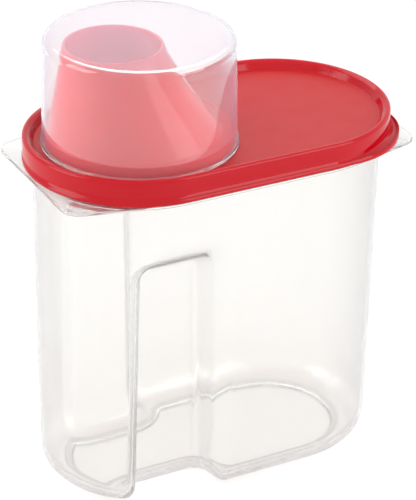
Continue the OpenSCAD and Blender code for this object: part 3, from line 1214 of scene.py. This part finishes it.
def red_plastic(name):
    """Opaque red plastic: polished, satin on the marked panel, and with painted light in the throat.

    Its roughness is the noise plus the satin mark times a roughness of its own.
    """
    material, tree, output = new_material(name)
    body = add_node(
        tree, "ShaderNodeBsdfPrincipled", Base_Color=RED_COLOUR, IOR=PLASTIC_IOR,
        Specular_IOR_Level=RED_GLOSS, Normal=ripples(tree, GRAIN_SCALE, GRAIN_STRENGTH, GRAIN_DEPTH),
    )
    satin = read_mark(tree, "satin")
    satin_tint = mix_colours(tree, satin, RED_COLOUR, SATIN_COLOUR)
    tint = mix_colours(tree, read_mark(tree, "throat_painted_light"), satin_tint, PAINTED_THROAT_LIGHT)
    polish = noise_range(tree, POLISH_SCALE, POLISH_SMOOTH, POLISH_ROUGH)
    feed(tree, body.inputs["Base Color"], tint)
    feed(tree, body.inputs["Roughness"], work_out(tree, "MULTIPLY_ADD", satin, SATIN_ROUGH, polish))
    feed(tree, output.inputs["Surface"], body.outputs["BSDF"])
    return material


lid_red = red_plastic("lid_red")
lid_cover.data.materials.append(lid_red)
print("nodes in the red plastic:", len(lid_red.node_tree.nodes))

# %% [markdown]
# ## Floor, lamps and surroundings
# The container stands on a plain white floor that fills the view. The floor takes the soft
# shadow as a diffuse surface, and adds its own light for the rays that look at it, so that it is
# white without strong lamps. The world does the same: it lights the object with a pale grey, and
# is white to the camera and in reflections and clear plastic.

# %% Floor
FLOOR_SIZE = 12000.0
FLOOR_COLOUR = (0.8, 0.8, 0.8, 1)
FLOOR_GLOW = 0.12
WHITE = (1, 1, 1, 1)


def looking_rays(tree):
    """1 for the camera's rays and the glossy and transmission rays, and 0 for the others."""
    rays = tree.nodes.new("ShaderNodeLightPath").outputs
    looks = work_out(tree, "MAXIMUM", rays["Is Camera Ray"], rays["Is Glossy Ray"])
    return work_out(tree, "MAXIMUM", looks, rays["Is Transmission Ray"])


def white_floor(name):
    """White diffuse material that adds a little light of its own for the rays that look at it."""
    material, tree, output = new_material(name)
    matt = add_node(tree, "ShaderNodeBsdfDiffuse", Color=FLOOR_COLOUR)
    glow_strength = work_out(tree, "MULTIPLY", looking_rays(tree), FLOOR_GLOW)
    glow = add_node(tree, "ShaderNodeEmission", Color=WHITE, Strength=glow_strength)
    both = tree.nodes.new("ShaderNodeAddShader")
    feed(tree, both.inputs[0], matt.outputs["BSDF"])
    feed(tree, both.inputs[1], glow.outputs["Emission"])
    feed(tree, output.inputs["Surface"], both.outputs["Shader"])
    return material


def add_floor():
    """A large square floor of one face, at the height of the container's foot."""
    half = FLOOR_SIZE / 2 * MM
    corners = [(-half, -half, 0), (half, -half, 0), (half, half, 0), (-half, half, 0)]
    mesh = bpy.data.meshes.new("floor")
    mesh.from_pydata(corners, [], [(0, 1, 2, 3)])
    mesh.materials.append(white_floor("floor_white"))
    floor = bpy.data.objects.new("floor", mesh)
    bpy.context.scene.collection.objects.link(floor)
    return floor


floor = add_floor()
print("floor", floor.dimensions[0], "m wide")

# %% Lamps: name, azimuth, elevation, distance, width and height, watts
LAMPS = [
    ("lamp_left", -100, 25, 900, (500, 700), 3.4),
    ("lamp_right", 35, 25, 900, (500, 700), 3.0),
    ("lamp_back", 158, 52, 1000, (900, 500), 2.4),
]
LAMP_TARGET = np.array([0, 0, 110])


def add_lamp(name, azimuth, elevation, distance, size, watts):
    """An area lamp that looks at the middle of the container from a direction and a distance."""
    back = towards(math.radians(azimuth), math.radians(elevation))
    right = np.cross([0, 0, 1], back)
    right /= np.linalg.norm(right)
    data = bpy.data.lights.new(name, "AREA")
    data.shape = "RECTANGLE"
    data.size, data.size_y = size[0] * MM, size[1] * MM
    data.energy = watts
    lamp = bpy.data.objects.new(name, data)
    lamp.matrix_world = axes_matrix(
        right, np.cross(back, right), back, LAMP_TARGET + back * distance
    )
    bpy.context.scene.collection.objects.link(lamp)
    return lamp


for settings in LAMPS:
    print("lamp", add_lamp(*settings).name)

# %% Surroundings
WORLD_LIGHT = (0.8, 0.8, 0.8, 1)


def add_world():
    """A world of one pale grey that looks white to the rays that look at it."""
    world = bpy.data.worlds.new("surroundings")
    world.use_nodes = True
    tree = world.node_tree
    sky = mix_colours(tree, looking_rays(tree), WORLD_LIGHT, WHITE)
    feed(tree, tree.nodes["Background"].inputs["Color"], sky)
    bpy.context.scene.world = world
    return world


world = add_world()
bpy.context.scene.view_settings.view_transform = "Standard"
print("world:", world.name)
